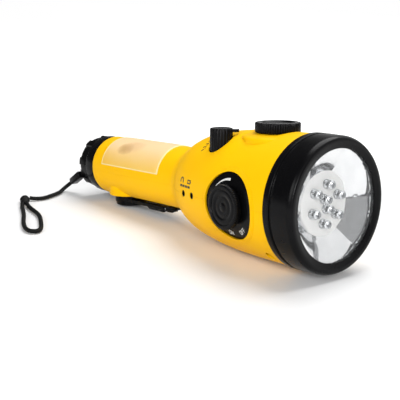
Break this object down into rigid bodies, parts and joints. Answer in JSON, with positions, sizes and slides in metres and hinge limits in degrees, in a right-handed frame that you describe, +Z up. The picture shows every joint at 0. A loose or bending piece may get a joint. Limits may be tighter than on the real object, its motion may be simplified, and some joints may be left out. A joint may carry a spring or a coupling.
{
  "type": "hand crank flashlight",
  "caption": "Yellow hand crank flashlight with radio dials, a lantern window, a folding crank under the handle and a wrist strap.",
  "frame": {"origin": "under the middle of the torch's bounding box, on the surface it lies on", "axes": "+X from the tail cap towards the lens, +Z up as the torch lies at rest"},
  "size_m": [0.2575, 0.1417, 0.084],
  "materials": {
    "yellow_plastic": "semi-gloss",
    "black_plastic": "satin",
    "black_rubber": "matt",
    "white_plastic": "matt",
    "lantern_plastic": "satin, lets light through",
    "clear_plastic": "clear and polished",
    "reflector_chrome": "mirror plated",
    "steel": "satin",
    "cell_case": "sleeved",
    "brass": "satin",
    "copper": "wound wire",
    "circuit_board": "satin",
    "nylon": "satin"
  },
  "bodies": {
    "body": {"upper_shell": "yellow_plastic", "lower_shell": "yellow_plastic", "shell_screw_neck": "steel", "shell_screw_rear_left": "steel", "shell_screw_rear_right": "steel", "shell_screw_front_left": "steel", "shell_screw_front_right": "steel", "lantern_window": "lantern_plastic", "lantern_board": "white_plastic", "lantern_led_1": "lantern_plastic", "lantern_led_2": "lantern_plastic", "bezel": "black_plastic", "lens": "clear_plastic", "lens_seal": "black_rubber", "reflector": "reflector_chrome", "lamp_board": "white_plastic", "led_1": "clear_plastic", "led_2": "clear_plastic", "led_3": "clear_plastic", "led_4": "clear_plastic", "led_5": "clear_plastic", "led_6": "clear_plastic", "led_7": "clear_plastic", "led_8": "clear_plastic", "side_panel": "black_plastic", "volume_control": "steel", "tuning_capacitor": "nylon", "function_switch": "nylon", "jack_socket_1": "black_plastic", "jack_socket_2": "black_plastic", "main_board": "circuit_board", "ferrite_rod": "black_rubber", "speaker": "black_plastic", "battery_tray": "nylon", "battery_cell_1": "cell_case", "battery_cell_2": "cell_case", "battery_cell_3": "cell_case", "front_contact": "brass", "crank_bushing": "brass", "dynamo_stator": "copper", "gear_plate": "steel"},
    "cap_ring": {"cap_seal": "black_rubber"},
    "tail_cap": {"tail_cap": "black_plastic", "tail_contact": "brass", "strap_crimp": "black_plastic", "strap_lead": "black_rubber", "strap_knot": "black_rubber", "strap_loop": "black_rubber"},
    "crank": {"crank_arm": "black_plastic", "crank_gear": "nylon", "crank_screw": "steel", "hinge_pin": "steel"},
    "idler": {"idler_gear": "nylon"},
    "rotor": {"dynamo_rotor": "steel"},
    "knob_spindle": {"grip_spindle": "black_plastic"},
    "knob": {"grip": "black_plastic"},
    "tuning": {"tuning_dial": "black_plastic"},
    "function": {"function_knob": "black_plastic"},
    "volume": {"volume_dial": "black_plastic"}
  },
  "joints": [
    {"name": "cap_slide", "type": "slide", "parent": "body", "child": "cap_ring", "axis": [-0.997, 0, -0.0773], "range_m": [0, 0.00501]},
    {"name": "cap_turn", "type": "hinge", "parent": "cap_ring", "child": "tail_cap", "pos_m": [-0.1158, 0.00149, 0.02487], "axis": [-0.997, 0, -0.0773], "range_deg": [0, 720]},
    {"name": "crank_spin", "type": "hinge", "parent": "body", "child": "crank", "pos_m": [-0.07916, 0.00149, 0.00765], "axis": [-0.0773, 0, 0.997], "continuous": true},
    {"name": "idler_spin", "type": "hinge", "parent": "body", "child": "idler", "pos_m": [-0.06398, 0.00149, 0.01886], "axis": [-0.0773, 0, 0.997], "continuous": true},
    {"name": "rotor_spin", "type": "hinge", "parent": "body", "child": "rotor", "pos_m": [-0.05069, 0.00149, 0.01989], "axis": [-0.0773, 0, 0.997], "continuous": true},
    {"name": "knob_fold", "type": "hinge", "parent": "crank", "child": "knob_spindle", "pos_m": [-0.02833, 0.00149, 0.00924], "axis": [0, -1, 0], "range_deg": [0, 90]},
    {"name": "grip_spin", "type": "hinge", "parent": "knob_spindle", "child": "knob", "pos_m": [-0.04412, 0.00149, 0.00591], "axis": [-0.997, 0, -0.0773], "continuous": true},
    {"name": "tuning_turn", "type": "hinge", "parent": "body", "child": "tuning", "pos_m": [0.06564, 0.00149, 0.07656], "axis": [-0.0773, 0, 0.997], "range_deg": [-90, 90]},
    {"name": "function_turn", "type": "hinge", "parent": "body", "child": "function", "pos_m": [0.0379, -0.01801, 0.06688], "axis": [-0.0773, 0, 0.997], "range_deg": [0, 150]},
    {"name": "volume_turn", "type": "hinge", "parent": "body", "child": "volume", "pos_m": [0.06645, -0.0365, 0.03637], "axis": [0.0522, 0.9986, 0.004], "range_deg": [0, 300]}
  ],
  "couplings": [
    {"joint": "cap_slide", "follows": "cap_turn", "m_per_rad": 0.00039789},
    {"joint": "idler_spin", "follows": "crank_spin", "ratio": -3},
    {"joint": "rotor_spin", "follows": "crank_spin", "ratio": 9}
  ]
}
